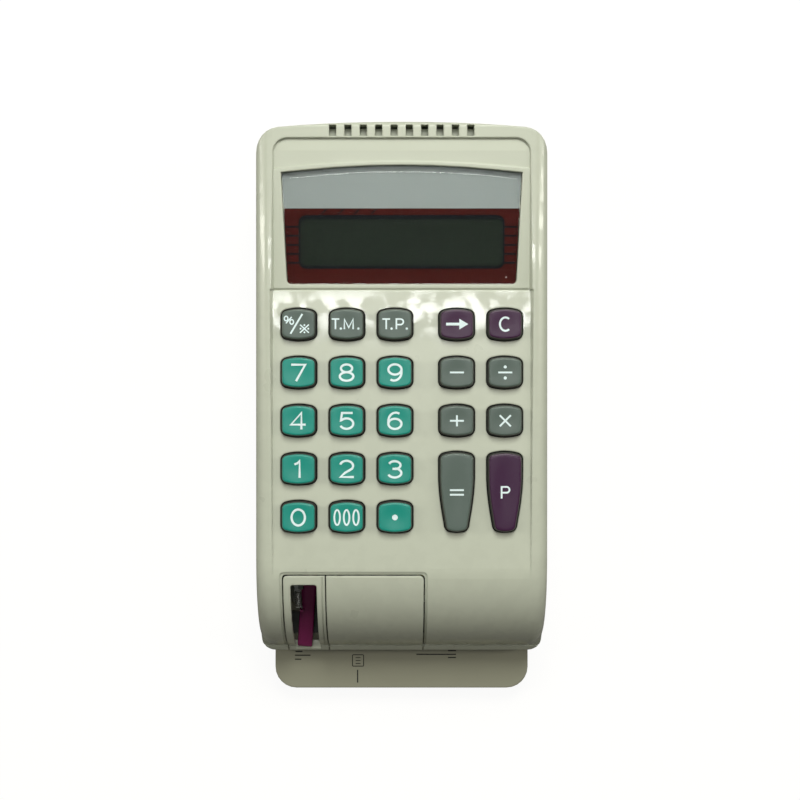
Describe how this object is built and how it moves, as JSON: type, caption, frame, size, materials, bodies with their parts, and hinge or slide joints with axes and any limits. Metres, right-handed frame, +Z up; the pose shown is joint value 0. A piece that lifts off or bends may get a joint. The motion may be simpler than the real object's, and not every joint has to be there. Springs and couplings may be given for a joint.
{
  "type": "check writer",
  "caption": "Desk check writer with keypad and display over an open check throat, print wheel, feed rollers, lever, hinged ink cover and check table.",
  "frame": {"origin": "under the middle of the machine, at the bottom of the feet", "axes": "+X to the user's right, +Y to the back, +Z up; the check table points to -Y"},
  "size_m": [0.122, 0.244, 0.0627],
  "materials": {
    "shell_cream": "satin moulded ABS",
    "tray_cream": "fine textured ABS",
    "lever_purple": "glossy moulded",
    "key_teal": "satin moulded",
    "key_grey": "satin moulded",
    "key_purple": "satin moulded",
    "steel": "zinc plated sheet",
    "spring_steel": "bright wire",
    "rubber": "matt",
    "clear_lens": "clear moulded acrylic",
    "lcd": "display glass",
    "board": "solder mask",
    "type_metal": "cast",
    "nylon": "natural nylon",
    "brass": "cut",
    "motor_steel": "drawn can",
    "felt": "ink felt",
    "black_plastic": "moulded",
    "battery": "printed sleeve, plain"
  },
  "bodies": {
    "casing": {"upper_housing": "shell_cream", "lower_housing": "shell_cream", "lever_bezel": "shell_cream", "check_table": "tray_cream", "throat_guide": "tray_cream", "print_frame": "steel", "housing_screws": "steel", "battery_contacts": "steel", "lever_spring": "spring_steel", "feed_belt": "rubber", "key_membrane": "rubber", "rubber_feet": "rubber", "display_lens": "clear_lens", "lcd_module": "lcd", "main_board": "board", "type_motor": "motor_steel", "feed_motor": "motor_steel", "hammer_solenoid": "motor_steel", "ink_holder": "black_plastic", "power_board": "black_plastic", "batteries": "battery"},
    "release": {"release_lever": "lever_purple", "release_shaft": "steel"},
    "pinch_left": {"pinch_roller_left": "rubber"},
    "pinch_right": {"pinch_roller_right": "rubber"},
    "ink_door": {"ink_cover": "shell_cream"},
    "inker": {"ink_roller": "felt"},
    "type": {"type_wheel": "type_metal", "type_shaft": "nylon"},
    "type_drive": {"type_pinion": "brass"},
    "hammer": {"hammer_arm": "steel"},
    "plunger": {"hammer_plunger": "steel"},
    "feed_drive": {"feed_gear": "brass"},
    "feed_right": {"feed_roller_right": "rubber"},
    "feed_left": {"feed_roller_left": "rubber"},
    "battery_door": {"battery_cover": "shell_cream"},
    "switch": {"switch_knob": "black_plastic"},
    "press_percent": {"key_percent": "key_grey"},
    "press_memory": {"key_memory": "key_grey"},
    "press_recall": {"key_recall": "key_grey"},
    "press_advance": {"key_advance": "key_purple"},
    "press_clear": {"key_clear": "key_purple"},
    "press_7": {"key_7": "key_teal"},
    "press_8": {"key_8": "key_teal"},
    "press_9": {"key_9": "key_teal"},
    "press_minus": {"key_minus": "key_grey"},
    "press_divide": {"key_divide": "key_grey"},
    "press_4": {"key_4": "key_teal"},
    "press_5": {"key_5": "key_teal"},
    "press_6": {"key_6": "key_teal"},
    "press_plus": {"key_plus": "key_grey"},
    "press_multiply": {"key_multiply": "key_grey"},
    "press_1": {"key_1": "key_teal"},
    "press_2": {"key_2": "key_teal"},
    "press_3": {"key_3": "key_teal"},
    "press_equals": {"key_equals": "key_grey"},
    "press_print": {"key_print": "key_purple"},
    "press_0": {"key_0": "key_teal"},
    "press_000": {"key_000": "key_teal"},
    "press_point": {"key_point": "key_teal"}
  },
  "joints": [
    {"name": "release_hinge", "type": "hinge", "parent": "casing", "child": "release", "pos_m": [0, -0.06, 0.028], "axis": [-1, 0, 0], "range_deg": [0, 26], "stiffness_Nm_per_rad": 0.05, "springref_deg": -20.05, "deforming": ["lever_spring"]},
    {"name": "pinch_spin_left", "type": "hinge", "parent": "release", "child": "pinch_left", "pos_m": [-0.046, -0.076, 0.01545], "axis": [0, 1, 0], "continuous": true},
    {"name": "pinch_spin_right", "type": "hinge", "parent": "release", "child": "pinch_right", "pos_m": [0.036, -0.076, 0.01545], "axis": [0, 1, 0], "continuous": true},
    {"name": "ink_cover_hinge", "type": "hinge", "parent": "casing", "child": "ink_door", "pos_m": [-0.011, -0.1012, 0.0206], "axis": [1, 0, 0], "range_deg": [0, 78]},
    {"name": "ink_spin", "type": "hinge", "parent": "casing", "child": "inker", "pos_m": [-0.0195, -0.07596, 0.04229], "axis": [1, 0, 0], "continuous": true},
    {"name": "type_spin", "type": "hinge", "parent": "casing", "child": "type", "pos_m": [-0.0195, -0.08, 0.0272], "axis": [1, 0, 0], "continuous": true},
    {"name": "type_pinion_spin", "type": "hinge", "parent": "casing", "child": "type_drive", "pos_m": [0.008, -0.07151, 0.03569], "axis": [1, 0, 0], "continuous": true},
    {"name": "hammer_hinge", "type": "hinge", "parent": "casing", "child": "hammer", "pos_m": [-0.0195, -0.045, 0.0072], "axis": [-1, 0, 0], "range_deg": [0, 7.5], "stiffness_Nm_per_rad": 0.02, "springref_deg": -11.46},
    {"name": "plunger_slide", "type": "slide", "parent": "casing", "child": "plunger", "axis": [0, 1, 0], "range_m": [0, 0.0012]},
    {"name": "feed_gear_spin", "type": "hinge", "parent": "casing", "child": "feed_drive", "pos_m": [0.036, -0.037, 0.02015], "axis": [0, 1, 0], "continuous": true},
    {"name": "feed_spin_right", "type": "hinge", "parent": "casing", "child": "feed_right", "pos_m": [0.036, -0.06, 0.00815], "axis": [0, 1, 0], "continuous": true},
    {"name": "feed_spin_left", "type": "hinge", "parent": "casing", "child": "feed_left", "pos_m": [-0.046, -0.06, 0.00815], "axis": [0, 1, 0], "continuous": true},
    {"name": "battery_cover_slide", "type": "slide", "parent": "casing", "child": "battery_door", "axis": [0, 1, 0], "range_m": [0, 0.06]},
    {"name": "switch_slide", "type": "slide", "parent": "casing", "child": "switch", "axis": [-1, 0, 0], "range_m": [0, 0.004]},
    {"name": "key_percent_press", "type": "slide", "parent": "casing", "child": "press_percent", "axis": [0, 0, -1], "range_m": [0, 0.0013], "stiffness_N_per_m": 150, "springref_m": -0.002, "deforming": ["key_membrane"]},
    {"name": "key_memory_press", "type": "slide", "parent": "casing", "child": "press_memory", "axis": [0, 0, -1], "range_m": [0, 0.0013], "stiffness_N_per_m": 150, "springref_m": -0.002, "deforming": ["key_membrane"]},
    {"name": "key_recall_press", "type": "slide", "parent": "casing", "child": "press_recall", "axis": [0, 0, -1], "range_m": [0, 0.0013], "stiffness_N_per_m": 150, "springref_m": -0.002, "deforming": ["key_membrane"]},
    {"name": "key_advance_press", "type": "slide", "parent": "casing", "child": "press_advance", "axis": [0, 0, -1], "range_m": [0, 0.0013], "stiffness_N_per_m": 150, "springref_m": -0.002, "deforming": ["key_membrane"]},
    {"name": "key_clear_press", "type": "slide", "parent": "casing", "child": "press_clear", "axis": [0, 0, -1], "range_m": [0, 0.0013], "stiffness_N_per_m": 150, "springref_m": -0.002, "deforming": ["key_membrane"]},
    {"name": "key_7_press", "type": "slide", "parent": "casing", "child": "press_7", "axis": [0, 0, -1], "range_m": [0, 0.0013], "stiffness_N_per_m": 150, "springref_m": -0.002, "deforming": ["key_membrane"]},
    {"name": "key_8_press", "type": "slide", "parent": "casing", "child": "press_8", "axis": [0, 0, -1], "range_m": [0, 0.0013], "stiffness_N_per_m": 150, "springref_m": -0.002, "deforming": ["key_membrane"]},
    {"name": "key_9_press", "type": "slide", "parent": "casing", "child": "press_9", "axis": [0, 0, -1], "range_m": [0, 0.0013], "stiffness_N_per_m": 150, "springref_m": -0.002, "deforming": ["key_membrane"]},
    {"name": "key_minus_press", "type": "slide", "parent": "casing", "child": "press_minus", "axis": [0, 0, -1], "range_m": [0, 0.0013], "stiffness_N_per_m": 150, "springref_m": -0.002, "deforming": ["key_membrane"]},
    {"name": "key_divide_press", "type": "slide", "parent": "casing", "child": "press_divide", "axis": [0, 0, -1], "range_m": [0, 0.0013], "stiffness_N_per_m": 150, "springref_m": -0.002, "deforming": ["key_membrane"]},
    {"name": "key_4_press", "type": "slide", "parent": "casing", "child": "press_4", "axis": [0, 0, -1], "range_m": [0, 0.0013], "stiffness_N_per_m": 150, "springref_m": -0.002, "deforming": ["key_membrane"]},
    {"name": "key_5_press", "type": "slide", "parent": "casing", "child": "press_5", "axis": [0, 0, -1], "range_m": [0, 0.0013], "stiffness_N_per_m": 150, "springref_m": -0.002, "deforming": ["key_membrane"]},
    {"name": "key_6_press", "type": "slide", "parent": "casing", "child": "press_6", "axis": [0, 0, -1], "range_m": [0, 0.0013], "stiffness_N_per_m": 150, "springref_m": -0.002, "deforming": ["key_membrane"]},
    {"name": "key_plus_press", "type": "slide", "parent": "casing", "child": "press_plus", "axis": [0, 0, -1], "range_m": [0, 0.0013], "stiffness_N_per_m": 150, "springref_m": -0.002, "deforming": ["key_membrane"]},
    {"name": "key_multiply_press", "type": "slide", "parent": "casing", "child": "press_multiply", "axis": [0, 0, -1], "range_m": [0, 0.0013], "stiffness_N_per_m": 150, "springref_m": -0.002, "deforming": ["key_membrane"]},
    {"name": "key_1_press", "type": "slide", "parent": "casing", "child": "press_1", "axis": [0, 0, -1], "range_m": [0, 0.0013], "stiffness_N_per_m": 150, "springref_m": -0.002, "deforming": ["key_membrane"]},
    {"name": "key_2_press", "type": "slide", "parent": "casing", "child": "press_2", "axis": [0, 0, -1], "range_m": [0, 0.0013], "stiffness_N_per_m": 150, "springref_m": -0.002, "deforming": ["key_membrane"]},
    {"name": "key_3_press", "type": "slide", "parent": "casing", "child": "press_3", "axis": [0, 0, -1], "range_m": [0, 0.0013], "stiffness_N_per_m": 150, "springref_m": -0.002, "deforming": ["key_membrane"]},
    {"name": "key_equals_press", "type": "slide", "parent": "casing", "child": "press_equals", "axis": [0, 0, -1], "range_m": [0, 0.0013], "stiffness_N_per_m": 150, "springref_m": -0.002, "deforming": ["key_membrane"]},
    {"name": "key_print_press", "type": "slide", "parent": "casing", "child": "press_print", "axis": [0, 0, -1], "range_m": [0, 0.0013], "stiffness_N_per_m": 150, "springref_m": -0.002, "deforming": ["key_membrane"]},
    {"name": "key_0_press", "type": "slide", "parent": "casing", "child": "press_0", "axis": [0, 0, -1], "range_m": [0, 0.0013], "stiffness_N_per_m": 150, "springref_m": -0.002, "deforming": ["key_membrane"]},
    {"name": "key_000_press", "type": "slide", "parent": "casing", "child": "press_000", "axis": [0, 0, -1], "range_m": [0, 0.0013], "stiffness_N_per_m": 150, "springref_m": -0.002, "deforming": ["key_membrane"]},
    {"name": "key_point_press", "type": "slide", "parent": "casing", "child": "press_point", "axis": [0, 0, -1], "range_m": [0, 0.0013], "stiffness_N_per_m": 150, "springref_m": -0.002, "deforming": ["key_membrane"]}
  ],
  "couplings": [
    {"joint": "type_pinion_spin", "follows": "type_spin", "ratio": -2},
    {"joint": "plunger_slide", "follows": "hammer_hinge", "m_per_rad": 0.0083},
    {"joint": "feed_spin_right", "follows": "feed_gear_spin", "ratio": -3},
    {"joint": "feed_spin_left", "follows": "feed_gear_spin", "ratio": -3}
  ]
}
